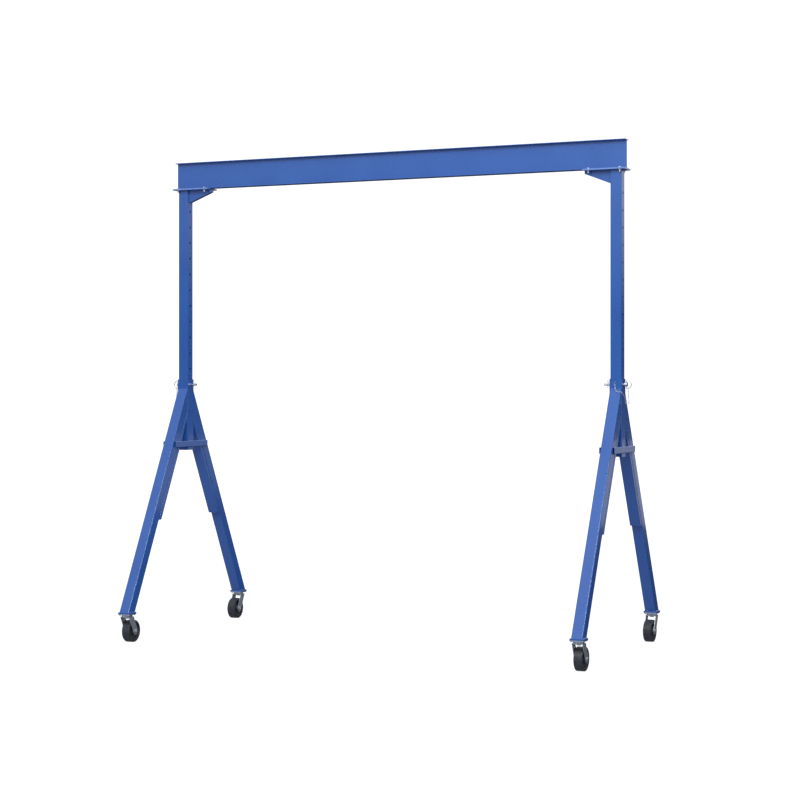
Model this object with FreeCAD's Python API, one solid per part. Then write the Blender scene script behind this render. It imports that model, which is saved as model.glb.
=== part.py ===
# Adjustable-height gantry crane: an I-beam on two square masts, each mast
# pinned in the sleeve of an A-frame that stands on two swivel casters.
# Millimetres. X runs along the beam, Y across the A-frames, Z is up.
# The origin is on the floor, midway between the four casters.
import FreeCAD, Part
import math
import os

from FreeCAD import Vector, Rotation, Placement

os.makedirs("parts", exist_ok=True)

# ---------------------------------------------------------------- sizes
# Beam, a light wide-flange section
beam_length = 4540.0
beam_depth = 254.0
flange_width = 101.6
flange_thick = 6.4
web_thick = 5.2
root_radius = 7.6
flange_toe_radius = 1.5
beam_underside = 4267.2          # above the floor, at the height that is pinned

# Masts and their holes
mast_inset = 86.0                # beam's end to the mast's centre
mast_side = 101.6
mast_wall = 6.35
mast_in_sleeve = 609.6           # how far the mast reaches down into its sleeve
hole_pitch = 152.4
holes_below_pin = 1
lock_pin_dia = 22.2
pin_hole_clearance = 0.8         # radial, round the pin in every hole

# Plates and knee brackets between beam and masts
mount_plate_length = 387.0
mount_plate_width = 200.0
mount_plate_thick = 12.7
mount_plate_overhang = 6.0       # past the end of the beam
mount_plate_edge = 3.0           # radius on the plate's upper edges
mount_plate_corner = 12.0
beam_bolt_dia = 12.7
bolt_hole_clearance = 0.5        # radial
beam_bolt_end_gap = 50.0         # bolt centre to the plate's ends
bolt_flange_gap = 3.0            # washer to the flange or mast, whichever is wider
washer_thick = 3.0
bolt_thread_length = 14.0        # past the nut
knee_length = 243.0
knee_height = 120.0
knee_tip_height = 25.0
knee_width = 50.8
knee_wall = 4.8

# Sleeve
mast_clearance = 1.6             # on each side of the mast
sleeve_wall = 4.75
sleeve_top = 2425.0
sleeve_length = 683.0
pin_below_top = 50.0

# A-frame legs
leg_side = 101.6
leg_wall = 4.8
leg_top = 2337.5                 # where a leg's outer face leaves the sleeve
foot_y = 1050.0                  # swivel axes, from the middle of the A-frame
stiffener_depth = 41.3
stiffener_wall = 4.8
stiffener_bottom = 1100.0
brace_height = 57.2
brace_depth = 19.05
brace_end_setback = 44.0         # in from the leg's outer face
brace_wall = 3.2
brace_bottom = 1774.0

# Feet and casters
foot_plate_side = 127.0
foot_plate_thick = 12.7
foot_plate_corner = 10.0
wheel_dia = 203.2
wheel_width = 76.2
wheel_edge_radius = 7.0
caster_height = 266.7            # floor to the top of the caster's plate
caster_plate_thick = 8.0
caster_trail = 66.0
fork_thick = 7.0
fork_gap = 5.0                   # wheel to fork arm, each side
crown_dia = 102.0
crown_low_dia = 90.0             # the cup narrows toward the arms
arm_root_width = 74.0
race_dia = 74.0
race_depth = 18.0
running_gap = 0.5                # between parts that turn on each other
arm_end_radius = 34.0
axle_dia = 19.0
bore_clearance = 0.05            # radial, wheel on axle and kingpin in crown
hub_dia = 62.0
recess_depth = 12.0
rim_thick = 20.0
wheel_draft = 4.0                # slope of the moulded recess
kingpin_dia = 22.0
kingpin_nut_flats = 36.0
kingpin_nut_height = 11.0
kingpin_cover = 3.0              # plate left over the kingpin's end
head_share = 0.62                # height of a hex head, of its thread's diameter
flats_share = 1.5                # width of a hex head across its flats, likewise
washer_share = 2.2               # diameter of a washer, likewise

# Lock pin, hairpin and safety chains
pin_collar_dia = 38.0
pin_collar_length = 26.0
pin_standoff = 8.0               # sleeve to the collar
pin_bar_in_collar = 6.0          # the bow's bar, in from the collar's end
pin_tail = 64.0                  # past the sleeve's inner face
pin_loop_height = 78.0
pin_loop_wire = 8.0
hairpin_wire = 4.0
hairpin_length = 74.0
hairpin_from_sleeve = 28.0
hairpin_bend = 7.0
hairpin_waist = 14.0             # half the length that is bowed round the pin
hairpin_gap = 0.4
chain_wire = 2.4
chain_link_length = 19.0
chain_link_width = 12.0
chain_gap = 0.6                  # slack between one link and the next
chain_ring_dia = 24.0            # outside, round the pin's bow
chain_eye_dia = 28.0
chain_eye_wire = 4.0
chain_eye_below_top = 18.0
chain_eye_from_middle = 8.0

# ------------------------------------------------------- derived places
mast_x = beam_length / 2 - mast_inset
plate_bottom = beam_underside - mount_plate_thick
sleeve_side = mast_side + 2 * (mast_clearance + sleeve_wall)
sleeve_bottom = sleeve_top - sleeve_length
pin_z = sleeve_top - pin_below_top
pin_hole_radius = lock_pin_dia / 2 + pin_hole_clearance
mast_bottom = sleeve_top - mast_in_sleeve
holes_above_pin = math.floor((plate_bottom - knee_height - pin_z) / hole_pitch)
foot_top = caster_height + foot_plate_thick
wheel_radius = wheel_dia / 2


def leg_lean():
    """Angle of a leg from the vertical, from its foot and its top."""
    rise = leg_top - foot_top
    run = foot_y - sleeve_side / 2
    lean = math.atan2(run, rise)
    for _ in range(30):
        lean = math.atan2(run + leg_side / 2 / math.cos(lean), rise)
    return lean


lean = leg_lean()


def leg_outer_y(z):
    """Distance of a leg's outer face from the mid-plane at height z."""
    return sleeve_side / 2 + (leg_top - z) * math.tan(lean)


# -------------------------------------------------------- shape helpers
def polygon_wire(points):
    vectors = [Vector(*p) for p in points]
    return Part.makePolygon(vectors + [vectors[0]])


def prism(points, direction):
    return Part.Face(polygon_wire(points)).extrude(Vector(*direction))


def box(low, high):
    size = [b - a for a, b in zip(low, high)]
    return Part.makeBox(*size, Vector(*low))


def rounded_block(width, depth, height, radius):
    """Upright block centred on Z, its four upright edges rounded."""
    block = box((-width / 2, -depth / 2, 0), (width / 2, depth / 2, height))
    radius = min(radius, 0.45 * min(width, depth))
    upright = [e for e in block.Edges if abs(e.Vertexes[0].Z - e.Vertexes[1].Z) > height / 2]
    return block.makeFillet(radius, upright)


def tube(width, depth, height, wall):
    """Rectangular hollow section standing on Z = 0, with rolled corners."""
    outer = rounded_block(width, depth, height, 1.6 * wall)
    inner = rounded_block(width - 2 * wall, depth - 2 * wall, height, 0.6 * wall)
    return outer.cut(inner)


def rod(start, end, radius):
    start, end = Vector(*start), Vector(*end)
    return Part.makeCylinder(radius, (end - start).Length, start, end - start)


def hexagon(centre, axis, flats, height):
    """Hexagonal prism from centre along axis."""
    circle = flats / math.sqrt(3)
    points = [(circle * math.cos(math.radians(60 * i)), circle * math.sin(math.radians(60 * i)), 0)
              for i in range(6)]
    nut = prism(points, (0, 0, height))
    nut.Placement = Placement(Vector(*centre), Rotation(Vector(0, 0, 1), Vector(*axis)))
    return nut


def moved(shape, x=0.0, y=0.0, z=0.0):
    copy = shape.copy()
    copy.translate(Vector(x, y, z))
    return copy


def half_turn(shape):
    """The same shape turned 180 degrees about Z."""
    copy = shape.copy()
    copy.rotate(Vector(0, 0, 0), Vector(0, 0, 1), 180)
    return copy


def mirrored(shape, normal):
    return shape.mirror(Vector(0, 0, 0), Vector(*normal))


def save(name, *solids):
    shape = solids[0] if len(solids) == 1 else Part.makeCompound(list(solids))
    for solid in shape.Solids:
        if not solid.isValid():
            print("not valid:", name)
    shape.exportStep("parts/" + name + ".step")
    print(name, len(shape.Solids), round(shape.Volume))


# ----------------------------------------------------------------- beam
def beam():
    half = beam_length / 2
    fw, fh, wt = flange_width / 2, beam_depth / 2, web_thick / 2
    inner = fh - flange_thick
    quarter = [(fw, fh), (fw, inner), (wt, inner)]
    right = quarter + [(y, -z) for y, z in reversed(quarter)]
    left = [(-y, z) for y, z in reversed(right)]
    section = [(-half, y, z) for y, z in right + left]
    solid = prism(section, (beam_length, 0, 0))
    roots = [e for e in solid.Edges
             if abs(abs(e.CenterOfMass.y) - wt) < 0.01 and abs(abs(e.CenterOfMass.z) - inner) < 0.01
             and e.Length > half]
    solid = solid.makeFillet(root_radius, roots)
    toes = [e for e in solid.Edges if abs(abs(e.CenterOfMass.y) - fw) < 0.01 and e.Length > half]
    solid = solid.makeFillet(flange_toe_radius, toes)
    return moved(solid, z=beam_underside + beam_depth / 2)


def beam_bolt_places():
    """Bolt centres beside the lower flange and the mast, two on each side."""
    beside = max(flange_width, mast_side) / 2
    y = beside + bolt_flange_gap + washer_share / 2 * beam_bolt_dia
    outer = beam_length / 2 + mount_plate_overhang - beam_bolt_end_gap
    inner = outer - mount_plate_length + 2 * beam_bolt_end_gap
    return [(x, side * y) for x in (inner, outer) for side in (-1, 1)]


# ------------------------------------------------------------ right mast
def mast():
    length = plate_bottom - mast_bottom
    solid = moved(tube(mast_side, mast_side, length, mast_wall), mast_x, 0, mast_bottom)
    for step in range(-holes_below_pin, holes_above_pin + 1):
        z = pin_z + step * hole_pitch
        solid = solid.cut(rod((mast_x - mast_side, 0, z), (mast_x + mast_side, 0, z), pin_hole_radius))
    return solid


def mount_plate():
    end = beam_length / 2 + mount_plate_overhang
    solid = rounded_block(mount_plate_length, mount_plate_width, mount_plate_thick, mount_plate_corner)
    upper = [e for e in solid.Edges if e.BoundBox.ZMin > mount_plate_thick - 0.01]
    solid = moved(solid.makeFillet(mount_plate_edge, upper), end - mount_plate_length / 2, 0, plate_bottom)
    radius = beam_bolt_dia / 2 + bolt_hole_clearance
    for x, y in beam_bolt_places():
        solid = solid.cut(rod((x, y, plate_bottom - 1), (x, y, beam_underside + 1), radius))
    return solid


def knee_bracket():
    """Folded channel that tapers from the mast to its tip under the plate."""
    root_x = mast_x - mast_side / 2
    half = knee_width / 2
    tip_x = root_x - knee_length
    side = [(root_x, -half, plate_bottom), (tip_x, -half, plate_bottom),
            (tip_x, -half, plate_bottom - knee_tip_height), (root_x, -half, plate_bottom - knee_height)]
    outer = prism(side, (0, knee_width, 0))
    slope = (knee_height - knee_tip_height) / knee_length
    lift = knee_wall * math.sqrt(1 + slope * slope)
    core = [(root_x + 1, -half + knee_wall, plate_bottom + 1),
            (tip_x + knee_wall, -half + knee_wall, plate_bottom + 1),
            (tip_x + knee_wall, -half + knee_wall, plate_bottom - knee_tip_height - knee_wall * slope + lift),
            (root_x + 1, -half + knee_wall, plate_bottom - knee_height - slope + lift)]
    return outer.cut(prism(core, (0, knee_width - 2 * knee_wall, 0)))


def beam_bolt(x, y):
    """Bolt down through the plate, its washers beside the lower flange."""
    radius = beam_bolt_dia / 2
    head_height = head_share * beam_bolt_dia
    flats = flats_share * beam_bolt_dia
    washer_radius = washer_share / 2 * beam_bolt_dia
    under = plate_bottom - washer_thick
    shank = rod((x, y, under - head_height - bolt_thread_length), (x, y, beam_underside + washer_thick), radius)
    head = hexagon((x, y, beam_underside + washer_thick), (0, 0, 1), flats, head_height)
    top_washer = rod((x, y, beam_underside), (x, y, beam_underside + washer_thick), washer_radius)
    low_washer = rod((x, y, under), (x, y, plate_bottom), washer_radius)
    nut = hexagon((x, y, under - head_height), (0, 0, 1), flats, head_height)
    return shank.fuse([head, top_washer, low_washer, nut]).removeSplitter()


# ----------------------------------------------------- right A-frame
def sleeve():
    """Square tube round the mast, with a chain eye welded on its front."""
    solid = moved(tube(sleeve_side, sleeve_side, sleeve_length, sleeve_wall), mast_x, 0, sleeve_bottom)
    reach = sleeve_side
    solid = solid.cut(rod((mast_x - reach, 0, pin_z), (mast_x + reach, 0, pin_z), pin_hole_radius))
    major = (chain_eye_dia - chain_eye_wire) / 2
    eye = ring(chain_eye_place(), (1, 0, 0), major, chain_eye_wire / 2)
    front = box((mast_x - reach, -sleeve_side, sleeve_bottom), (mast_x + reach, -sleeve_side / 2, sleeve_top))
    return solid.fuse(eye.common(front)).removeSplitter()


def chain_eye_place():
    return (mast_x - chain_eye_from_middle, -sleeve_side / 2, sleeve_top - chain_eye_below_top)


def leaning(section, offset, low, high):
    """Lay a long upright section along the rear leg and trim it.

    offset is the distance of the section's centre line in from the leg's
    outer face, and low and high are the heights where it is cut level.
    """
    long_piece = moved(section, z=-section.BoundBox.ZLength / 2)
    long_piece.rotate(Vector(0, 0, 0), Vector(1, 0, 0), math.degrees(lean))
    middle = (foot_top + leg_top) / 2
    y = leg_outer_y(middle) - offset / math.cos(lean)
    long_piece = moved(long_piece, mast_x, y, middle)
    room = box((mast_x - 2 * leg_side, sleeve_side / 2, low), (mast_x + 2 * leg_side, 2 * foot_y, high))
    return long_piece.common(room)


def rear_leg():
    section = tube(leg_side, leg_side, 1.6 * leg_top, leg_wall)
    return leaning(section, leg_side / 2, foot_top, sleeve_top)


def rear_stiffener():
    section = tube(leg_side, stiffener_depth, 1.6 * leg_top, stiffener_wall)
    return leaning(section, leg_side + stiffener_depth / 2, stiffener_bottom, sleeve_top)


def brace():
    """Cross brace on the +X side of the legs, a flat tube coped over the sleeve."""
    half = leg_outer_y(brace_bottom) - brace_end_setback
    section = moved(tube(brace_depth, brace_height, 2 * half, brace_wall), z=-half)
    section.rotate(Vector(0, 0, 0), Vector(1, 0, 0), 90)
    section = moved(section, mast_x + leg_side / 2 + brace_depth / 2, 0, brace_bottom + brace_height / 2)
    sleeve_half = sleeve_side / 2
    cope = box((mast_x, -sleeve_half, sleeve_bottom), (mast_x + sleeve_half, sleeve_half, sleeve_top))
    return section.cut(cope)


def foot_plate():
    plate = rounded_block(foot_plate_side, foot_plate_side, foot_plate_thick, foot_plate_corner)
    return moved(plate, mast_x, foot_y, caster_height)


# --------------------------------------------------------- one caster
# Modelled with the swivel axis on X = Y = 0 and the wheel trailing to -Y.
crown_top = caster_height - caster_plate_thick - running_gap
crown_bottom = crown_top - race_depth - fork_thick
arm_inner = wheel_width / 2 + fork_gap


def caster_plate():
    low = caster_height - caster_plate_thick
    plate = moved(rounded_block(foot_plate_side, foot_plate_side, caster_plate_thick, foot_plate_corner), z=low)
    boss = rod((0, 0, low - race_depth), (0, 0, low), race_dia / 2)
    hole_top = caster_height - kingpin_cover
    hole = rod((0, 0, low - race_depth - 1), (0, 0, hole_top), kingpin_dia / 2 + bore_clearance)
    return plate.fuse(boss).cut(hole)


def fork_arm(side):
    """Flat arm from the crown down to the axle, rounded about the axle."""
    top_half = arm_root_width / 2
    x = side * arm_inner if side > 0 else side * arm_inner - fork_thick
    axle = Vector(x, -caster_trail, wheel_radius)
    front = tangent_point((-top_half, crown_bottom), (-caster_trail, wheel_radius), arm_end_radius, 1)
    back = tangent_point((top_half, crown_bottom), (-caster_trail, wheel_radius), arm_end_radius, -1)
    bottom = Vector(x, -caster_trail, wheel_radius - arm_end_radius)
    p = [Vector(x, top_half, crown_bottom), Vector(x, -top_half, crown_bottom),
         Vector(x, *front), Vector(x, *back)]
    upper = [Vector(x, -top_half, crown_bottom + fork_thick), Vector(x, top_half, crown_bottom + fork_thick)]
    edges = [Part.LineSegment(p[1], p[2]).toShape(), Part.Arc(p[2], bottom, p[3]).toShape(),
             Part.LineSegment(p[3], p[0]).toShape(), Part.LineSegment(p[0], upper[1]).toShape(),
             Part.LineSegment(upper[1], upper[0]).toShape(), Part.LineSegment(upper[0], p[1]).toShape()]
    arm = Part.Face(Part.Wire(edges)).extrude(Vector(fork_thick, 0, 0))
    hole = rod((x - 1, axle.y, axle.z), (x + fork_thick + 1, axle.y, axle.z), axle_dia / 2 + bore_clearance)
    return arm.cut(hole)


def tangent_point(point, centre, radius, side):
    """Where a line from point touches a circle, in the YZ plane."""
    dy, dz = point[0] - centre[0], point[1] - centre[1]
    distance = math.hypot(dy, dz)
    angle = math.atan2(dz, dy) + side * math.acos(radius / distance)
    return (centre[0] + radius * math.cos(angle), centre[1] + radius * math.sin(angle))


def fork():
    """Crown with its raceway cup, two arms, kingpin and nut."""
    race_clear = race_dia / 2 + running_gap
    crown_plate_top = crown_bottom + fork_thick
    crown_height = crown_top - crown_bottom
    crown = Part.makeCone(crown_low_dia / 2, crown_dia / 2, crown_height, Vector(0, 0, crown_bottom))
    crown = crown.cut(rod((0, 0, crown_plate_top), (0, 0, crown_top + 1), race_clear))
    crown = crown.fuse(box((-arm_inner - fork_thick, -arm_root_width / 2, crown_bottom),
                           (arm_inner + fork_thick, arm_root_width / 2, crown_plate_top)))
    kingpin_top = caster_height - kingpin_cover - running_gap
    kingpin = rod((0, 0, crown_bottom), (0, 0, kingpin_top), kingpin_dia / 2)
    nut = hexagon((0, 0, crown_bottom - kingpin_nut_height), (0, 0, 1), kingpin_nut_flats, kingpin_nut_height)
    return crown.fuse([fork_arm(-1), fork_arm(1), kingpin, nut]).removeSplitter()


def wheel():
    """Solid wheel with recessed sides and a hub as long as the fork is wide."""
    r, w, e = wheel_radius, wheel_width / 2, wheel_edge_radius
    hub, hub_w = hub_dia / 2, arm_inner - running_gap
    bore = axle_dia / 2 + bore_clearance
    rim = r - rim_thick
    web = w - recess_depth
    recess = [(hub, hub_w), (hub + wheel_draft, web), (rim - wheel_draft, web), (rim, w)]
    half = [(bore, 0), (bore, hub_w)] + recess + [(r - e, w)]
    edges = []
    points = [Vector(x, 0, y) for y, x in half]
    for a, b in zip(points, points[1:]):
        edges.append(Part.LineSegment(a, b).toShape())
    corner = math.sqrt(0.5)
    arc_mid = Vector(w - e + e * corner, 0, r - e + e * corner)
    arc_end = Vector(w - e, 0, r)
    edges.append(Part.Arc(points[-1], arc_mid, arc_end).toShape())
    edges.append(Part.LineSegment(arc_end, Vector(0, 0, r)).toShape())
    edges.append(Part.LineSegment(Vector(0, 0, r), points[0]).toShape())
    profile = Part.Face(Part.Wire(edges))
    half_wheel = profile.revolve(Vector(0, 0, 0), Vector(1, 0, 0), 360)
    solid = half_wheel.fuse(mirrored(half_wheel, (1, 0, 0))).removeSplitter()
    return moved(solid, 0, -caster_trail, wheel_radius)


def axle():
    """Bolt through both arms, head on one side and nut on the other."""
    y, z = -caster_trail, wheel_radius
    outer = arm_inner + fork_thick
    head_height = head_share * axle_dia
    flats = flats_share * axle_dia
    shank = rod((-outer - head_height - wheel_draft, y, z), (outer + 0.5, y, z), axle_dia / 2)
    head = hexagon((outer, y, z), (1, 0, 0), flats, head_height)
    nut = hexagon((-outer, y, z), (-1, 0, 0), flats, head_height)
    return shank.fuse([head, nut]).removeSplitter()


# --------------------------------------- lock pin, hairpin and chains
def ring(centre, normal, major, minor):
    return Part.makeTorus(major, minor, Vector(*centre), Vector(*normal))


def bow_bar_x():
    """Where the bow's straight bar passes up through the collar."""
    return pin_collar_end() - pin_bar_in_collar


def pin_collar_end():
    return mast_x + sleeve_side / 2 + pin_standoff + pin_collar_length


def lock_pin():
    """Right-hand pin: shank, collar off the sleeve and a bow handle."""
    tail = mast_x - sleeve_side / 2 - pin_tail
    end = pin_collar_end()
    shank = rod((tail, 0, pin_z), (end - 1, 0, pin_z), lock_pin_dia / 2)
    collar = rod((end - pin_collar_length, 0, pin_z), (end, 0, pin_z), pin_collar_dia / 2)
    major = (pin_loop_height - pin_loop_wire) / 2
    wire = pin_loop_wire / 2
    bow = ring((end, 0, pin_z), (0, 1, 0), major, wire)
    bow = bow.common(box((end, -major, pin_z - 2 * major), (end + 2 * major, major, pin_z + 2 * major)))
    bar_x = bow_bar_x()
    bar = rod((bar_x, 0, pin_z - major), (bar_x, 0, pin_z + major), wire)
    arms = [rod((bar_x, 0, pin_z + s * major), (end, 0, pin_z + s * major), wire) for s in (-1, 1)]
    knuckles = [Part.makeSphere(wire, Vector(bar_x, 0, pin_z + s * major)) for s in (-1, 1)]
    solid = shank.fuse([collar, bow, bar] + arms + knuckles).removeSplitter()
    hole = rod((hairpin_x(), 0, pin_z - lock_pin_dia), (hairpin_x(), 0, pin_z + lock_pin_dia),
               hairpin_wire / 2 + hairpin_gap)
    return solid.cut(hole)


def hairpin_x():
    return mast_x - sleeve_side / 2 - hairpin_from_sleeve


def hairpin():
    """Wire clip: one leg down through the pin, the other bowed round it."""
    x, r = hairpin_x(), hairpin_wire / 2
    top = pin_z + hairpin_length / 2
    low = pin_z - hairpin_length / 2
    away = -lock_pin_dia / 2 - r - hairpin_gap
    spread = away + 2 * r
    points = [(x, 0, low), (x, 0, top - hairpin_bend), (x, -hairpin_bend, top),
              (x, -2 * hairpin_bend, top - hairpin_bend), (x, spread, pin_z + hairpin_waist), (x, away, pin_z),
              (x, spread, pin_z - hairpin_waist), (x, away - 2 * r, low + hairpin_bend)]
    pieces = [rod(a, b, r) for a, b in zip(points, points[1:])]
    knuckles = [Part.makeSphere(r, Vector(*p)) for p in points[1:-1]]
    return pieces[0].fuse(pieces[1:] + knuckles).removeSplitter()


def chain_link():
    """One link lying along X in the XY plane."""
    r = chain_wire / 2
    bend = chain_link_width / 2 - r
    straight = chain_link_length / 2 - r - bend
    ends = []
    for side in (-1, 1):
        torus = ring((side * straight, 0, 0), (0, 0, 1), bend, r)
        reach = side * (straight + chain_link_length)
        low, high = min(side * straight, reach), max(side * straight, reach)
        ends.append(torus.common(box((low, -chain_link_width, -r - 1), (high, chain_link_width, r + 1))))
    sides = [rod((-straight, y, 0), (straight, y, 0), r) for y in (-bend, bend)]
    return ends[0].fuse([ends[1]] + sides).removeSplitter()


def safety_chain():
    """Chain from the sleeve's eye round its corner and up to the pin's bow."""
    face = mast_x + sleeve_side / 2
    eye_major = (chain_eye_dia - chain_eye_wire) / 2
    end_in = chain_link_length / 2 - chain_wire / 2      # link centre to its end wire
    off_face = chain_link_width / 2 + 0.8
    reach = eye_major - chain_eye_wire / 2 - chain_wire / 2 - chain_gap
    seat = math.sqrt(reach ** 2 - off_face ** 2)
    start = Vector(*chain_eye_place()) + Vector(0, -off_face, -seat - end_in)

    bow_radius = (pin_loop_height - pin_loop_wire) / 2
    along_bow = 8.0
    hang_x = pin_collar_end() + along_bow
    bow_z = pin_z - math.sqrt(bow_radius ** 2 - along_bow ** 2)
    ring_radius = (chain_ring_dia - chain_wire) / 2
    ring_z = bow_z + pin_loop_wire / 2 + chain_gap + chain_wire / 2 - ring_radius
    finish = Vector(hang_x, 0, ring_z - ring_radius + chain_wire + chain_gap - end_in)

    # The chain drapes over the head of the front leg, then sags and rises.
    off = chain_link_width / 2 + 4.0

    def over_leg(x, drop, lift=0.0):
        z = pin_z - drop
        return Vector(x, -leg_outer_y(min(z, leg_top)) - off - lift, z)

    poles = [start, start + Vector(0, 0, -chain_link_length), over_leg(mast_x + 2, 36), over_leg(mast_x + 16, 68, 2),
             over_leg(mast_x + 48, 62, 4), over_leg(face + off, 68, 0), Vector(face + off + 4, -40, pin_z - 98),
             Vector(face + off + 8, -16, pin_z - 124), Vector(hang_x - 24, -5, pin_z - 142),
             Vector(hang_x - 25, 0, pin_z - 166), Vector(hang_x + 8, 0, pin_z - 174),
             Vector(hang_x + 6, 0, pin_z - 142), Vector(hang_x, 0, pin_z - 104), finish]
    curve = Part.BSplineCurve()
    curve.buildFromPoles(poles, False, 3)
    pitch = chain_link_length - 2 * chain_wire - chain_gap
    count = 2 * round(curve.length() / pitch / 2)
    link = chain_link()
    pieces = [ring((hang_x, 0, ring_z), (1, 0, 0), ring_radius, chain_wire / 2)]
    places = [curve.parameterAtDistance(curve.length() * i / count, curve.FirstParameter)
              for i in range(count + 1)]
    frames = carried_frames([curve.tangent(at)[0] for at in places], Vector(0, 1, 0))
    for i, (at, frame) in enumerate(zip(places, frames)):
        piece = link.copy()
        piece.Placement = Placement(curve.value(at), frame * Rotation(Vector(1, 0, 0), 90 * (i % 2)))
        pieces.append(piece)
    return pieces


def carried_frames(tangents, normal):
    """Rotations that lay X along each tangent and turn as little as they can.

    The first and the last have their Z along normal, and the twist that this
    needs is shared out evenly along the way.
    """
    frames = [Rotation(tangents[0], Vector(0, 0, 0), normal, "XZY")]
    for before, after in zip(tangents, tangents[1:]):
        frames.append(Rotation(before, after) * frames[-1])
    last_z = frames[-1].multVec(Vector(0, 0, 1))
    last_y = frames[-1].multVec(Vector(0, 1, 0))
    twist = math.degrees(math.atan2(-normal.dot(last_y), normal.dot(last_z)))
    twist = (twist + 90) % 180 - 90
    steps = len(frames) - 1
    return [frame * Rotation(Vector(1, 0, 0), twist * i / steps) for i, frame in enumerate(frames)]


# --------------------------------------------------------------- output
save("i_beam", beam())

bolts = [beam_bolt(x, y) for x, y in beam_bolt_places()]
bridge_pieces = {"mast": [mast()], "mount_plate": [mount_plate()], "knee_bracket": [knee_bracket()],
                 "beam_bolts": bolts}
leg, stiff, plus_brace, plate = rear_leg(), rear_stiffener(), brace(), foot_plate()
shift_to_mast = Vector(mast_x, 0, 0)


def across(shape):
    """Mirror a piece of the right A-frame from the rear to the front."""
    return mirrored(shape, (0, 1, 0))


def inboard(shape):
    """Mirror a piece of the right A-frame from its outer to its inner side."""
    return moved(mirrored(moved(shape, -mast_x), (1, 0, 0)), mast_x)


frame_pieces = {
    "sleeve": [sleeve()],
    "rear_leg": [leg], "front_leg": [across(leg)],
    "rear_stiffener": [stiff], "front_stiffener": [across(stiff)],
    "cross_braces": [plus_brace, inboard(plus_brace)],
    "foot_plates": [plate, across(plate)],
    "lock_pin": [lock_pin()], "hairpin": [hairpin()], "safety_chain": safety_chain(),
}
caster_pieces = {"caster_plate": caster_plate(), "fork": fork(), "wheel": wheel(), "axle": axle()}
for name, shape in caster_pieces.items():
    frame_pieces["rear_" + name] = [moved(shape, mast_x, foot_y)]
    frame_pieces["front_" + name] = [moved(mirrored(shape, (0, 1, 0)), mast_x, -foot_y)]

# The left end is the right end turned half round, so front and rear swap.
swap = {"front": "rear", "rear": "front"}
for name, shapes in {**bridge_pieces, **frame_pieces}.items():
    first, _, rest = name.partition("_")
    left_name = swap.get(first, first) + ("_" + rest if rest else "")
    save("right_" + name, *shapes)
    save("left_" + left_name, *[half_turn(s) for s in shapes])
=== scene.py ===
# %% [markdown]
# # A height-adjustable gantry crane
# A gantry crane of this kind is a bare steel frame: a rolled I-beam bolted to
# two square masts, each mast pinned in the sleeve of an A-frame on casters.
# The steel itself is already modelled at its true size. This lesson gives it
# its finishes, its welds and its small fastenings, and then lights it.

# %% Load the frame
import math
import random

import bmesh
import bpy
from mathutils import Matrix, Vector


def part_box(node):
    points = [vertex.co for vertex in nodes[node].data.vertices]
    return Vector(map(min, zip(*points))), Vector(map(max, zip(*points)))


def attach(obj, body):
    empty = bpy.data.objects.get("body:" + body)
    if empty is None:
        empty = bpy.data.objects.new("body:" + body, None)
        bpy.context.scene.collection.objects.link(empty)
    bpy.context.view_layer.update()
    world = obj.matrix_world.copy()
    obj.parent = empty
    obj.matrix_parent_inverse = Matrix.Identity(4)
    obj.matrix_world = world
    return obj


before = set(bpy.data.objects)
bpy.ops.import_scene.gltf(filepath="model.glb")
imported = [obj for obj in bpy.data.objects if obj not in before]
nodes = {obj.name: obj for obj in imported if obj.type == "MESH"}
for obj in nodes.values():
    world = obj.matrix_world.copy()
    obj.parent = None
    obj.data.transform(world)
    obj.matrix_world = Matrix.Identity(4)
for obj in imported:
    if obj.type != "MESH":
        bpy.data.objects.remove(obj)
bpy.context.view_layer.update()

# %% [markdown]
# ## Camera
# The crane is 4.5 m tall and is seen level, from a little over half its
# height and from about 17 m away, so a long lens is used and the camera isn't
# tilted: that keeps the masts upright in the picture. The small shift raises
# the horizon in the frame without tilting.

# %% Camera
LENS_MM, SENSOR_MM = 84.66, 36.0
EYE = (7.189, -15.819, 2.362)         # metres
PAN_DEGREES = 24.15                   # to the left of straight ahead, which is +Y
FRAME_SHIFT = -0.0176                 # share of the picture's width
FAR_CLIP = 200.0

camera_data = bpy.data.cameras.new("camera")
camera = bpy.data.objects.new("camera", camera_data)
bpy.context.scene.collection.objects.link(camera)
camera_data.lens = LENS_MM
camera_data.sensor_width = SENSOR_MM
camera_data.shift_y = FRAME_SHIFT
camera_data.clip_end = FAR_CLIP
camera.location = EYE
camera.rotation_euler = (math.radians(90), 0, math.radians(PAN_DEGREES))
bpy.context.scene.camera = camera
print("camera at", [round(v, 2) for v in camera.location])

# %% [markdown]
# ## Helpers
# The same few jobs come back all through the lesson: turning a hex colour
# into linear values, adding a shader node with its links, and skinning a run
# of rings. Each is a short function, so that the later cells read as a
# description of the crane.

# %% Helpers for colours, shaders and meshes
def linear(hex_colour):
    """An sRGB hex colour as Blender's linear values, opaque."""
    channels = [int(hex_colour[i:i + 2], 16) / 255 for i in (1, 3, 5)]
    return [c / 12.92 if c <= 0.04045 else ((c + 0.055) / 1.055) ** 2.4 for c in channels] + [1.0]


def add_node(tree, kind, inputs=None, **settings):
    """Add a shader node, set it up and link or fill its inputs."""
    node = tree.nodes.new(kind)
    for name, value in settings.items():
        setattr(node, name, value)
    for name, value in (inputs or {}).items():
        if isinstance(value, bpy.types.NodeSocket):
            tree.links.new(value, node.inputs[name])
        else:
            node.inputs[name].default_value = value
    return node


def new_material(name):
    """A material with an empty tree."""
    material = bpy.data.materials.new(name)
    material.use_nodes = True
    material.node_tree.nodes.clear()
    return material, material.node_tree


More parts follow.
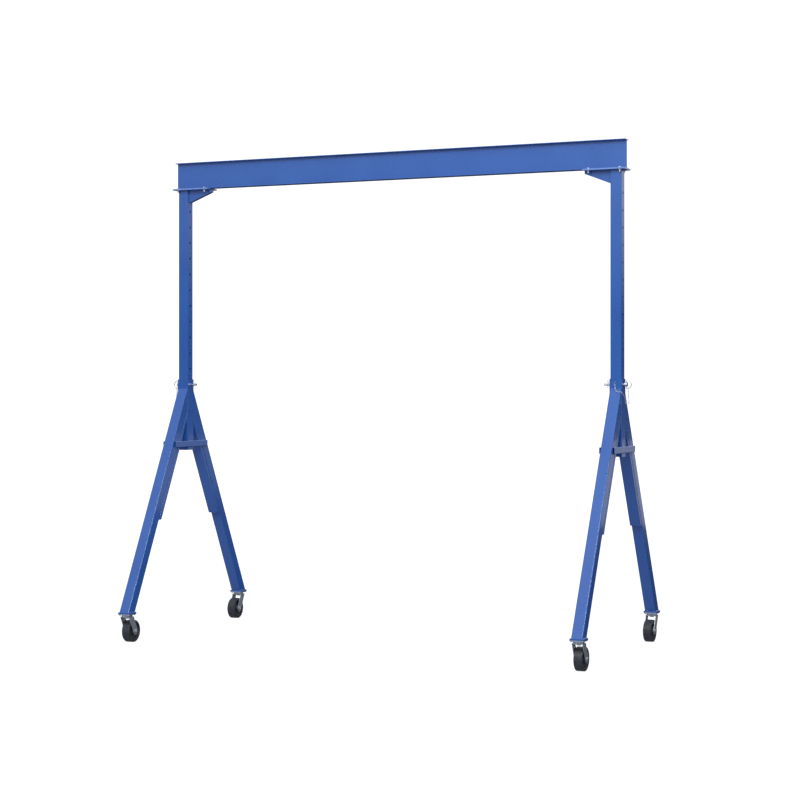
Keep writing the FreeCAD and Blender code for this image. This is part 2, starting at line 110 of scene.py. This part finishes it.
def ramp(tree, factor, stops):
    """A colour ramp from (position, hex colour) stops."""
    node = add_node(tree, "ShaderNodeValToRGB", {"Fac": factor})
    elements = node.color_ramp.elements
    while len(elements) < len(stops):
        elements.new(0.5)
    for element, (position, colour) in zip(elements, stops):
        element.position = position
        element.color = linear(colour)
    return node


def mesh_object(name, bm, material, smooth=False):
    """Turn a bmesh into an object with one material."""
    mesh = bpy.data.meshes.new(name)
    bmesh.ops.recalc_face_normals(bm, faces=bm.faces)
    for face in bm.faces:
        face.smooth = smooth
    bm.to_mesh(mesh)
    bm.free()
    mesh.materials.append(material)
    piece = bpy.data.objects.new(name, mesh)
    bpy.context.scene.collection.objects.link(piece)
    return piece


def ring_round(bm, centre, side, up, radii, turn=0.0):
    """A ring of vertices round centre, in the plane of side and up, one for each radius."""
    ring = []
    for k, radius in enumerate(radii):
        angle = turn + 2 * math.pi * k / len(radii)
        ring.append(bm.verts.new(centre + (side * math.cos(angle) + up * math.sin(angle)) * radius))
    return ring


def join_rings(bm, rings):
    """Skin a run of equal rings with quads."""
    for ring, after in zip(rings, rings[1:]):
        for k in range(len(ring)):
            beside = (k + 1) % len(ring)
            bm.faces.new((ring[k], ring[beside], after[beside], after[k]))


def close_ends(bm, rings):
    """Cap the first and the last ring."""
    bm.faces.new(rings[0])
    bm.faces.new(reversed(rings[-1]))


print("helpers ready")

# %% [markdown]
# ## Studio
# The floor curves up into a wall, and both glow nearly white, so that the
# ground and the air behind read as one even white, without shadows. The glow
# is kept off the steel, which takes its light from the lamps and the room.

# %% Pale floor and round wall
WALL_RADIUS, WALL_TOP, BEND = 42.0, 30.0, 6.0    # metres
FLOOR_RINGS = (12.0, 24.0)                       # radii of the flat floor's rings, in metres
SECTORS, BEND_STEPS = 72, 10
GLOW_NEAR, GLOW_FAR = 0.86, 1.0                  # under the crane, and toward the wall
NEAR, FAR = 5.0, 14.0                            # metres over which the glow grows

studio_paint, tree = new_material("studio_white_cyclorama")
place = add_node(tree, "ShaderNodeTexCoord").outputs["Object"]
reach = add_node(tree, "ShaderNodeVectorMath", {0: place}, operation="LENGTH")
glow = add_node(tree, "ShaderNodeMapRange",
                {"Value": reach.outputs["Value"], "From Min": NEAR, "From Max": FAR,
                 "To Min": GLOW_NEAR, "To Max": GLOW_FAR})
shader = add_node(tree, "ShaderNodeBsdfPrincipled",
                  {"Base Color": linear("#8E8E8E"), "Roughness": 0.9, "Specular IOR Level": 0.0,
                   "Emission Color": linear("#FFFFFF"), "Emission Strength": glow.outputs["Result"]})
add_node(tree, "ShaderNodeOutputMaterial", {"Surface": shader.outputs[0]})

profile = [(radius, 0.0) for radius in FLOOR_RINGS + (WALL_RADIUS - BEND,)]
for i in range(1, BEND_STEPS + 1):
    angle = math.radians(90 / BEND_STEPS * i)
    profile.append((WALL_RADIUS - BEND + BEND * math.sin(angle), BEND - BEND * math.cos(angle)))
profile.append((WALL_RADIUS, WALL_TOP))
headings = [math.radians(360 / SECTORS * k) for k in range(SECTORS)]
bm = bmesh.new()
rings = [[bm.verts.new((r * math.cos(a), r * math.sin(a), z)) for a in headings] for r, z in profile]
bm.faces.new(rings[0])
join_rings(bm, rings)
backdrop = mesh_object("studio_floor", bm, studio_paint, smooth=True)
backdrop.visible_diffuse = False
backdrop.visible_glossy = False
backdrop.visible_shadow = False
print("backdrop faces:", len(backdrop.data.polygons))

# %% [markdown]
# ## Lights and room
# A painted frame takes its shading from what it mirrors. One high soft key in
# front lights it, and one low card behind it on the right gives the faces
# that look along the beam their pale sheen. The room is pale overhead, grey
# underfoot and darkest in a band about the horizon, most of all behind, so
# the undersides stay dark.

# %% Lights
MIDDLE = (0.0, 0.0, 2.4)
RIGHT_FRAME = (2.2, 0.5, 1.3)


def area_light(name, place, target, size, watts):
    """A soft rectangular light, size (width, height) in metres, that faces a target."""
    data = bpy.data.lights.new(name, "AREA")
    data.shape = "RECTANGLE"
    data.size, data.size_y = size
    data.energy = watts
    lamp = bpy.data.objects.new(name, data)
    bpy.context.scene.collection.objects.link(lamp)
    lamp.location = place
    lamp.rotation_euler = (Vector(target) - Vector(place)).to_track_quat("-Z", "Y").to_euler()


area_light("key_high_front", (2.4, -8.8, 8.2), MIDDLE, size=(4.5, 4.5), watts=620.0)
area_light("low_card_behind_right", (5.3, 9.5, 1.0), RIGHT_FRAME, size=(4.0, 1.2), watts=8.0)

world = bpy.data.worlds.new("studio_air")
bpy.context.scene.world = world
world.use_nodes = True
sky = world.node_tree
view = add_node(sky, "ShaderNodeTexCoord").outputs["Generated"]
direction = add_node(sky, "ShaderNodeSeparateXYZ", {"Vector": view})
height = add_node(sky, "ShaderNodeMapRange",
                  {"Value": direction.outputs["Z"], "From Min": -1.0, "From Max": 1.0})
ABOVE = [(0.55, "#DFE5F2"), (1.0, "#DFE5F2")]
IN_FRONT = [(0.0, "#9CA2B0"), (0.42, "#A4AAB8"), (0.49, "#6C707C"), (0.52, "#3C3E46")] + ABOVE
BEHIND = [(0.0, "#9CA2B0"), (0.2, "#70747E"), (0.32, "#303136"), (0.52, "#303136")] + ABOVE
front_tone = ramp(sky, height.outputs["Result"], IN_FRONT)
back_tone = ramp(sky, height.outputs["Result"], BEHIND)
behind = add_node(sky, "ShaderNodeMapRange",
                  {"Value": direction.outputs["Y"], "From Min": -0.3, "From Max": 0.3})
tone = add_node(sky, "ShaderNodeMixRGB",
                {"Fac": behind.outputs["Result"], "Color1": front_tone.outputs["Color"],
                 "Color2": back_tone.outputs["Color"]})
sky.links.new(tone.outputs["Color"], sky.nodes["Background"].inputs["Color"])
sky.nodes["Background"].inputs["Strength"].default_value = 1.0
bpy.context.scene.view_settings.view_transform = "Standard"

# %% [markdown]
# ## Blue powder coat
# The steel is blasted, sprayed with dry polyester powder and baked at about
# 190 degrees. The melted powder is a thick even film: glossy, with the faint
# dimpled skin called orange peel, 3 to 4 mm from crest to crest, and a soft
# tone that drifts where the film is thicker. It isn't a metallic paint, so
# the colour comes from the base and the shine from the clear upper skin. One
# way is a bump on a plain glossy shader; a coat layer over it is chosen here
# because it keeps a sharp thin reflection over a broader one.

# %% Blue powder coat
PEEL_MM = 9.0           # true orange peel is about 4 mm, and is drawn coarser so that it shows
DRIFT_MM = 420.0        # how far apart the film's thick and thin places lie
SMEAR_MM = 90.0         # how far apart its glossier and duller places lie
PAINTED_HIGHLIGHT_BLUE = "#6F8FCE"   # a painted highlight: paler blue on upright faces, for light caught at the plate's edges


def noise(tree, coordinates, size_mm, detail=2.0, roughness=0.5):
    """Noise whose features are about size_mm apart, in object space."""
    return add_node(tree, "ShaderNodeTexNoise", {"Vector": coordinates, "Scale": 1000.0 / size_mm,
                                                 "Detail": detail, "Roughness": roughness})


def coordinates_of(tree):
    """Places on the object, in metres."""
    return add_node(tree, "ShaderNodeTexCoord").outputs["Object"]


def span(tree, value, low, high):
    """Map a 0 to 1 value to the range low to high."""
    return add_node(tree, "ShaderNodeMapRange", {"Value": value, "To Min": low, "To Max": high})


def paint_edge_highlight(tree, colour):
    """Mix a painted highlight, a paler blue, into every face that doesn't lie flat."""
    normal = add_node(tree, "ShaderNodeTexCoord").outputs["Normal"]
    facing = add_node(tree, "ShaderNodeSeparateXYZ", {"Vector": normal})
    flat = add_node(tree, "ShaderNodeMath", {0: facing.outputs["Z"]}, operation="ABSOLUTE")
    highlight_share = add_node(tree, "ShaderNodeMapRange",
                    {"Value": flat.outputs[0], "From Min": 0.95, "From Max": 0.3})
    mix = add_node(tree, "ShaderNodeMixRGB",
                   {"Fac": highlight_share.outputs["Result"], "Color1": colour, "Color2": linear(PAINTED_HIGHLIGHT_BLUE)})
    return mix.outputs["Color"]


def coat(name, painted_edge_highlight=False):
    """The powder coat, on rolled or drawn steel, or on plate with a painted highlight on its upright
    faces.
    """
    material, tree = new_material(name)
    where = coordinates_of(tree)
    drift = noise(tree, where, DRIFT_MM, detail=3.0)
    blues = [(0.3, "#2A59A4"), (0.5, "#2D5DA8"), (0.72, "#3061AC")]
    colour = ramp(tree, drift.outputs["Fac"], blues).outputs["Color"]
    # painted highlight: paler blue on the upright faces, standing in for light caught at the edges
    if painted_edge_highlight:
        colour = paint_edge_highlight(tree, colour)
    smear = noise(tree, where, SMEAR_MM, detail=4.0, roughness=0.6)
    gloss = span(tree, smear.outputs["Fac"], 0.22, 0.34)
    peel = noise(tree, where, PEEL_MM, detail=1.0)
    dimples = add_node(tree, "ShaderNodeBump", {"Strength": 0.12, "Distance": 0.0006,
                                                "Height": peel.outputs["Fac"]})
    shader = add_node(tree, "ShaderNodeBsdfPrincipled",
                      {"Base Color": colour, "Roughness": gloss.outputs["Result"], "IOR": 1.52,
                       "Specular IOR Level": 0.3, "Coat Weight": 0.8, "Coat Roughness": 0.08,
                       "Normal": dimples.outputs["Normal"]})
    add_node(tree, "ShaderNodeOutputMaterial", {"Surface": shader.outputs[0]})
    return material


powder_coat = coat("blue_polyester_powder_coat")
# the mount plates' coat carries a painted edge highlight
plate_coat_with_painted_highlight = coat("blue_powder_coat_with_painted_edge_highlight", painted_edge_highlight=True)
print("powder coat: peel", PEEL_MM, "mm, drift", DRIFT_MM, "mm")

# %% [markdown]
# ## Zinc plate
# Forks, plates, bolts, pins and chains are mild steel with a bright zinc
# plating, which is a metal, so its colour is its reflection. The plated skin
# is slightly cloudy: patches of it are duller where it was handled or where
# the bath left more zinc. The pressed steel of the forks is duller than the
# fastenings and is clouded more broadly.

# %% Zinc plate, bright and clouded
def zinc(name, light, dark, low_gloss, high_gloss, cloud_mm, grain_mm):
    """Plated steel, clouded at one scale and grained at a finer one."""
    material, tree = new_material(name)
    where = coordinates_of(tree)
    cloud = noise(tree, where, cloud_mm, detail=4.0, roughness=0.6)
    colour = ramp(tree, cloud.outputs["Fac"], [(0.3, dark), (0.7, light)])
    gloss = span(tree, cloud.outputs["Fac"], high_gloss, low_gloss)
    grain = noise(tree, where, grain_mm, detail=2.0)
    skin = add_node(tree, "ShaderNodeBump", {"Strength": 0.15, "Distance": 0.0003,
                                             "Height": grain.outputs["Fac"]})
    shader = add_node(tree, "ShaderNodeBsdfPrincipled",
                      {"Base Color": colour.outputs["Color"], "Metallic": 1.0,
                       "Roughness": gloss.outputs["Result"], "Normal": skin.outputs["Normal"]})
    add_node(tree, "ShaderNodeOutputMaterial", {"Surface": shader.outputs[0]})
    return material


pressed_zinc = zinc("zinc_plated_pressed_steel", "#D3D7DD", "#A6ABB2", 0.38, 0.56, 35.0, 4.0)
bright_zinc = zinc("bright_zinc_fastener", "#ECEFF2", "#C8CCD1", 0.24, 0.4, 12.0, 3.0)
print("metals:", pressed_zinc.name, bright_zinc.name)

# %% [markdown]
# ## Wheel resin
# The wheels are pressed from canvas chips in phenolic resin. That gives a
# dull charcoal plastic with a visible mottle, because each chip of cloth,
# 8 to 12 mm across, takes the resin a little differently.

# %% Canvas phenolic
CHIP_MM = 11.0
WEAVE_MM = 2.5

phenolic, tree = new_material("pressed_canvas_phenolic")
where = coordinates_of(tree)
chips = add_node(tree, "ShaderNodeTexVoronoi", {"Vector": where, "Scale": 1000.0 / CHIP_MM})
chip_tone = add_node(tree, "ShaderNodeSeparateColor", {"Color": chips.outputs["Color"]})
colour = ramp(tree, chip_tone.outputs["Red"], [(0.1, "#1E1F23"), (0.6, "#282A2F"), (0.95, "#34363B")])
weave = noise(tree, where, WEAVE_MM, detail=1.0)
fuzz = add_node(tree, "ShaderNodeBump", {"Strength": 0.25, "Distance": 0.0004,
                                         "Height": weave.outputs["Fac"]})
gloss = span(tree, chip_tone.outputs["Green"], 0.42, 0.62)
shader = add_node(tree, "ShaderNodeBsdfPrincipled",
                  {"Base Color": colour.outputs["Color"], "Roughness": gloss.outputs["Result"],
                   "IOR": 1.6, "Normal": fuzz.outputs["Normal"]})
add_node(tree, "ShaderNodeOutputMaterial", {"Surface": shader.outputs[0]})
print("phenolic chips:", CHIP_MM, "mm")

# %% [markdown]
# ## Finishes on the steel
# Each modelled piece already has its true shape, so it only takes a finish.
# Its name says what it is made of: forks, caster plates, axles, bolts, pins
# and chains are plated, wheels are resin, and all the rest is painted. The
# mount plates' upright edges carry a painted highlight in a paler blue.

# %% Assign finishes
FINISH_BY_WORD = {"mount": plate_coat_with_painted_highlight, "wheel": phenolic, "fork": pressed_zinc,
                  "caster": bright_zinc, "axle": bright_zinc, "bolts": bright_zinc,
                  "pin": bright_zinc, "hairpin": bright_zinc, "chain": bright_zinc}


def finish_of(name):
    """The finish of the first listed word in a piece's name, or else paint."""
    for word, material in FINISH_BY_WORD.items():
        if word in name.split("_"):
            return material
    return powder_coat


for name, piece in nodes.items():
    piece.data.materials.clear()
    piece.data.materials.append(finish_of(name))
for material in (powder_coat, plate_coat_with_painted_highlight, pressed_zinc, bright_zinc, phenolic):
    print(material.name, "on", sum(finish_of(name) is material for name in nodes), "pieces")

# %% [markdown]
# ## Weld beads
# Every joint of this frame is an arc weld under the paint. A fillet weld is
# laid in small steps, so its bead is a row of overlapping ripples about 3 mm
# apart, and its edge wanders a little. A flat strip with a bump pattern would
# be lighter, but it has no outline, so each bead is a real rippled rod whose
# inner half is sunk in the corner that it fills.

# %% Weld bead builder
MM = 0.001
RIPPLE_MM = 3.2
RIPPLE_RISE = 0.13                    # how far a ripple stands out, as a share of the radius
STEP_SHARE = 0.4                      # from ring to ring, as a share of a ripple
WANDER = ((0.08, 90), (0.06, 210))    # share of the radius, and radians along each metre
TIP_SHARE, TAPER = 0.35, 200.0        # radius at the very end, and its growth in each metre
BEAD_SIDES, BEAD_TURN = 6, 0.2

# radii in mm, from the heaviest bead to the lightest
ROUND_BEAD, SEAM_BEAD, KNEE_BEAD, LIGHT_BEAD, BRACE_BEAD = 3.6, 3.4, 2.8, 2.6, 2.4


def bead(bm, start, end, radius_mm, seed):
    """A rippled rod from start to end, in metres, tapered at both ends."""
    start, end = Vector(start), Vector(end)
    along = end - start
    length = along.length
    along.normalize()
    side = along.orthogonal().normalized()
    up = along.cross(side)
    steps = max(4, int(length / (STEP_SHARE * RIPPLE_MM * MM)))
    dice = random.Random(seed)
    sway = [dice.uniform(0, 6.28) for _ in WANDER]
    rings = []
    for i in range(steps + 1):
        at = length * i / steps
        ripple = 1.0 + RIPPLE_RISE * abs(math.sin(math.pi * at / (RIPPLE_MM * MM)))
        wander = 1.0
        for (share, per_metre), phase in zip(WANDER, sway):
            wander += share * math.sin(at * per_metre + phase)
        taper = min(1.0, TIP_SHARE + TAPER * min(at, length - at))
        radius = radius_mm * MM * ripple * wander * taper
        rings.append(ring_round(bm, start + along * at, side, up, [radius] * BEAD_SIDES, BEAD_TURN))
    join_rings(bm, rings)
    close_ends(bm, rings)


def turned(bm):
    """Turn what was built for the right end half round, for the left end."""
    bmesh.ops.rotate(bm, verts=bm.verts, cent=(0, 0, 0), matrix=Matrix.Rotation(math.pi, 3, "Z"))


print("bead ripples:", RIPPLE_MM, "mm apart")

# %% [markdown]
# ## Where the seams lie
# The beads follow the steel, so their places are read from the modelled
# pieces. The two A-frames are alike, and only the right one is measured.

# %% Places on the right end, from the modelled steel
_, sleeve_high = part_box("right_sleeve")
mast_low, mast_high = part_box("right_mast")
plate_low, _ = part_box("right_mount_plate")
knee_low, knee_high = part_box("right_knee_bracket")
leg_low, leg_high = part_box("right_front_leg")
stiff_low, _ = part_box("right_front_stiffener")
foot_low, foot_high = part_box("right_foot_plates")
brace_low, brace_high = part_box("right_cross_braces")

MAST_X = (mast_low.x + mast_high.x) / 2
MAST_HALF = (mast_high.x - mast_low.x) / 2
SLEEVE_HALF = sleeve_high.x - MAST_X
LEG_HALF = leg_high.x - MAST_X
LEG_TOP = 2.3375                      # where a leg's outer face leaves the sleeve
STIFFENER_DEPTH = 0.0413
FOOT_TOP = foot_high.z
SWIVEL_Y = foot_high.y - (foot_high.x - foot_low.x) / 2
outer_run = -leg_low.y - SLEEVE_HALF
LEAN = math.atan2(outer_run, LEG_TOP - FOOT_TOP)


def leg_y(z, depth=0.0):
    """Distance from the middle of the frame to a leg's face, depth in from its outer one."""
    return SLEEVE_HALF + (LEG_TOP - z) * math.tan(LEAN) - depth / math.cos(LEAN)


print("lean", round(math.degrees(LEAN), 2), "degrees, foot at", round(SWIVEL_Y, 4), "m")

# %% [markdown]
# ## Seams of the bridge and of the A-frames
# A tube that stands on a plate is welded all round. The legs have long seams
# against the sleeve, a bead at the head and one round the foot. The
# stiffeners are only stitched, because a full seam would pull the leg bent.

# %% Welds
STITCH, STITCH_PITCH = 0.05, 0.16             # metres
STITCH_CLEAR = 0.06                           # from the last stitch to the leg's inner top
HEAD_INSET, END_INSET, BRACE_INSET = 0.006, 0.008, 0.004    # a bead stops this short of a corner
BEADS_PER_SEED = 31


def round_seam(bm, half, first_y, last_y, z, seed):
    """A bead all round a square tube that stands on a plate."""
    low_x, high_x = MAST_X - half, MAST_X + half
    corners = [(low_x, first_y), (high_x, first_y), (high_x, last_y), (low_x, last_y), (low_x, first_y)]
    points = [(x, y, z) for x, y in corners]
    for i, (a, b) in enumerate(zip(points, points[1:])):
        bead(bm, a, b, ROUND_BEAD, seed * BEADS_PER_SEED + i)


def bridge_welds():
    """Mast to plate, and knee bracket to plate and mast, at the right end."""
    bm = bmesh.new()
    top = plate_low.z
    round_seam(bm, MAST_HALF, -MAST_HALF, MAST_HALF, top, 1)
    for side in (-1, 1):
        y = knee_high.y * side
        bead(bm, (knee_low.x, y, top), (knee_high.x, y, top), KNEE_BEAD, 7)
        bead(bm, (knee_high.x, y, knee_low.z), (knee_high.x, y, top), KNEE_BEAD, 8)
    for x, z, seed in ((knee_low.x, top, 9), (knee_high.x, knee_low.z, 10)):
        bead(bm, (x, knee_low.y, z), (x, knee_high.y, z), LIGHT_BEAD, seed)
    return bm


def cross_bead(bm, y, z, inset, radius_mm, seed):
    """A bead across a leg's width."""
    half = LEG_HALF
    bead(bm, (MAST_X - half + inset, y, z), (MAST_X + half - inset, y, z), radius_mm, seed)


def frame_welds():
    """Every seam of the right A-frame."""
    bm = bmesh.new()
    leg_depth = 2 * LEG_HALF
    inner_top = LEG_TOP - leg_depth / math.sin(LEAN)
    low_seam = inner_top - STIFFENER_DEPTH / math.sin(LEAN)
    for front in (-1, 1):
        for side in (-1, 1):
            x = MAST_X + side * LEG_HALF
            seam_y = front * SLEEVE_HALF
            bead(bm, (x, seam_y, low_seam), (x, seam_y, LEG_TOP), SEAM_BEAD, 20 + side + front)
            # stitches between the leg and its stiffener
            z = stiff_low.z
            while z < inner_top - STITCH_CLEAR:
                ends = [(x, front * leg_y(at, leg_depth), at) for at in (z, z + STITCH)]
                bead(bm, ends[0], ends[1], LIGHT_BEAD, int(z * 100) + side)
                z += STITCH_PITCH
            # brace edges across the leg's side
            for z in (brace_low.z, brace_high.z):
                inner_y = front * leg_y(z, leg_depth + STIFFENER_DEPTH)
                outer_y = front * min(leg_y(z), brace_high.y)
                bead(bm, (x, inner_y, z), (x, outer_y, z), LIGHT_BEAD, 60 + front)
        # head of the leg, its foot, and the lower end of the stiffener
        cross_bead(bm, front * SLEEVE_HALF, LEG_TOP, HEAD_INSET, SEAM_BEAD, 30 + front)
        outer, inner = front * leg_y(FOOT_TOP), front * leg_y(FOOT_TOP, leg_depth)
        round_seam(bm, LEG_HALF, outer, inner, FOOT_TOP, 40 + front)
        stiffener_y = front * leg_y(stiff_low.z, leg_depth)
        cross_bead(bm, stiffener_y, stiff_low.z, END_INSET, LIGHT_BEAD, 50 + front)
    reach = SLEEVE_HALF - BRACE_INSET
    for side in (-1, 1):
        x = MAST_X + side * SLEEVE_HALF
        for z in (brace_low.z, brace_high.z):
            bead(bm, (x, -reach, z), (x, reach, z), BRACE_BEAD, 70 + side)
    return bm


for end in ("right", "left"):
    for what, build, body in (("bridge", bridge_welds, "bridge"), ("frame", frame_welds, "end_frames")):
        bm = build()
        if end == "left":
            turned(bm)
        piece = mesh_object(end + "_" + what + "_welds", bm, powder_coat, smooth=True)
        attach(piece, body)
        print(piece.name, len(piece.data.polygons), "faces")

# %% [markdown]
# ## Caster bolts and grease fittings
# Four short hex bolts hold each caster to its foot plate, driven from below,
# each over a washer. A real hex head has its corners turned down at 30
# degrees, which leaves a round face on top, so the head is built as a prism
# whose outer corners drop. The crown carries a grease fitting for its races:
# a hexagon base, a neck and a ball.

# %% Bolt heads and grease fittings
BOLT_MM = 9.5
BOLT_OUT = 0.0475                     # bolt to the swivel axis, along each side
FLATS_SHARE, HEIGHT_SHARE = 1.55, 0.64        # of the thread's diameter
WASHER_SHARE = 0.16                           # its thickness, of the thread's diameter
WASHER_REACH = 2.1                            # its radius, of the thread's radius
CASTER_PLATE = 0.008                  # thickness of a caster's top plate
CROWN_UP, CROWN_RADIUS = 0.004, 0.0482        # the fitting's seat on the crown
FITTING_TILT = 0.15
# (radius, height) in metres
FITTING_BASE = [(0.0046, -0.001), (0.0046, 0.003), (0.0042, 0.0035)]
FITTING_BALL = [(0.0024, 0.003), (0.0021, 0.0075), (0.0032, 0.009), (0.0033, 0.0105),
                (0.0022, 0.0122), (0.0009, 0.0126)]


def stack_rings(bm, centre, axis, levels, turn=0.0):
    """A closed solid from (height, radii) levels along axis."""
    axis = Vector(axis).normalized()
    side = axis.orthogonal().normalized()
    up = axis.cross(side)
    rings = [ring_round(bm, Vector(centre) + axis * height, side, up, radii, turn)
             for height, radii in levels]
    join_rings(bm, rings)
    close_ends(bm, rings)


def lathe(bm, centre, axis, outline, sides):
    """Revolve (radius, height) points about axis from centre."""
    stack_rings(bm, centre, axis, [(height, [radius] * sides) for radius, height in outline])


def hex_head(bm, centre, axis, turn):
    """Washer and chamfered hexagon head."""
    thread = BOLT_MM
    washer_radius = WASHER_REACH * (thread * MM / 2)
    washer = WASHER_SHARE * thread * MM
    lathe(bm, centre, axis,
          [(washer_radius, 0.0), (washer_radius, 0.8 * washer), (0.96 * washer_radius, washer)], 24)
    flats, height = FLATS_SHARE * thread * MM, HEIGHT_SHARE * thread * MM
    corner = flats / math.sqrt(3)
    # alternate points of 12: corners lie out, middles of the flats lie in
    shape = [(0.0, corner, flats / 2), (0.82, corner, flats / 2), (1.0, 0.9 * flats / 2, 0.9 * flats / 2)]
    levels = [(washer + share * height, [at_corner, at_flat] * 6) for share, at_corner, at_flat in shape]
    stack_rings(bm, centre, axis, levels, turn)


def grease_fitting(bm, centre, axis):
    """Hexagon base, neck and ball."""
    lathe(bm, centre, axis, FITTING_BASE, 6)
    lathe(bm, centre, axis, FITTING_BALL, 14)


for end, side in (("right", 1), ("left", -1)):
    for place, front in (("rear", 1), ("front", -1)):
        name = end + "_" + place
        centre_x, centre_y = side * MAST_X, front * SWIVEL_Y
        plate_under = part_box(end + "_foot_plates")[0].z - CASTER_PLATE
        bm = bmesh.new()
        for sx in (-1, 1):
            for sy in (-1, 1):
                seat = (centre_x + sx * BOLT_OUT, centre_y + sy * BOLT_OUT, plate_under)
                hex_head(bm, seat, (0, 0, -1), turn=0.4 * sx + 0.9 * sy)
        bolts = mesh_object(name + "_caster_bolts", bm, bright_zinc)
        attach(bolts, "end_frames")
        bm = bmesh.new()
        crown_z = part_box(name + "_caster_plate")[0].z + CROWN_UP
        grease_fitting(bm, (centre_x, centre_y + front * CROWN_RADIUS, crown_z), (0, front, FITTING_TILT))
        fitting = mesh_object(name + "_grease_fitting", bm, bright_zinc, smooth=True)
        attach(fitting, name + "_caster_fork")
        print(bolts.name, fitting.name)
